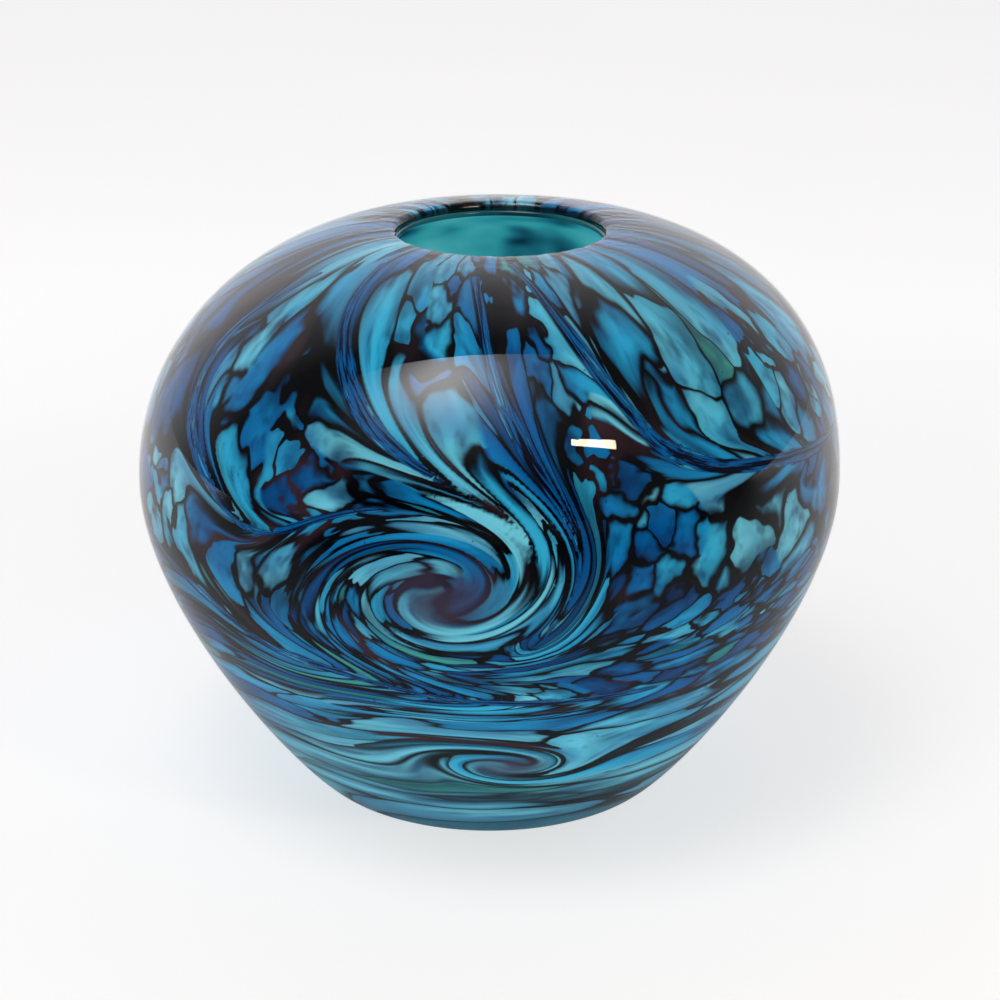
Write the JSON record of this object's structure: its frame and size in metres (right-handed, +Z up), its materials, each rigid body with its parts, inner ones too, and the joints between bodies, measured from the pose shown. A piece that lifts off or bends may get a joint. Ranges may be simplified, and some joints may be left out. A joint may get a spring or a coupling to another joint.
{
  "type": "vase",
  "caption": "Squat round hand-blown glass vase with a narrow mouth: clear casing over marbled turquoise and cobalt chips on a dark layer, teal lining.",
  "frame": {"origin": "on the surface the vase stands on, under the middle of the belly", "axes": "+Z up through the vase; the tooled swirl faces -Y, and the mouth sits a little to +X"},
  "size_m": [0.16, 0.16, 0.1294],
  "materials": {
    "clear_glass": "fire-polished, glossy, slightly wavy",
    "aubergine_glass": "dense, nearly opaque, fused under the casing",
    "teal_glass": "opal, glossy, seen through the mouth",
    "turquoise_glass": "opal frit, fused under the casing",
    "cobalt_glass": "dense blue frit, fused under the casing",
    "emerald_glass": "dense green frit, fused under the casing"
  },
  "bodies": {
    "root": {"aubergine_overlay": "aubergine_glass", "clear_casing": "clear_glass", "cobalt_chip_01": "cobalt_glass", "cobalt_chip_02": "cobalt_glass", "cobalt_chip_03": "cobalt_glass", "cobalt_chip_04": "cobalt_glass", "cobalt_chip_05": "cobalt_glass", "cobalt_chip_06": "cobalt_glass", "cobalt_chip_07": "cobalt_glass", "cobalt_chip_08": "cobalt_glass", "cobalt_chip_09": "cobalt_glass", "cobalt_chip_10": "cobalt_glass", "cobalt_chip_11": "cobalt_glass", "cobalt_chip_12": "cobalt_glass", "cobalt_chip_13": "cobalt_glass", "cobalt_chip_14": "cobalt_glass", "cobalt_ribbon_1": "cobalt_glass", "cobalt_ribbon_2": "cobalt_glass", "cobalt_ribbon_3": "cobalt_glass", "cobalt_ribbon_4": "cobalt_glass", "cobalt_swirl": "cobalt_glass", "emerald_chip_01": "emerald_glass", "emerald_chip_02": "emerald_glass", "emerald_chip_03": "emerald_glass", "turquoise_chip_01": "turquoise_glass", "turquoise_chip_02": "turquoise_glass", "turquoise_chip_03": "turquoise_glass", "turquoise_chip_04": "turquoise_glass", "turquoise_chip_05": "turquoise_glass", "turquoise_chip_06": "turquoise_glass", "turquoise_chip_07": "turquoise_glass", "turquoise_chip_08": "turquoise_glass", "turquoise_chip_09": "turquoise_glass", "turquoise_chip_10": "turquoise_glass", "turquoise_chip_11": "turquoise_glass", "turquoise_chip_12": "turquoise_glass", "turquoise_chip_13": "turquoise_glass", "turquoise_chip_14": "turquoise_glass", "turquoise_chip_15": "turquoise_glass", "turquoise_chip_16": "turquoise_glass", "turquoise_chip_17": "turquoise_glass", "turquoise_chip_18": "turquoise_glass", "turquoise_chip_19": "turquoise_glass", "turquoise_chip_20": "turquoise_glass", "turquoise_chip_21": "turquoise_glass", "turquoise_lining": "teal_glass"}
  },
  "joints": []
}
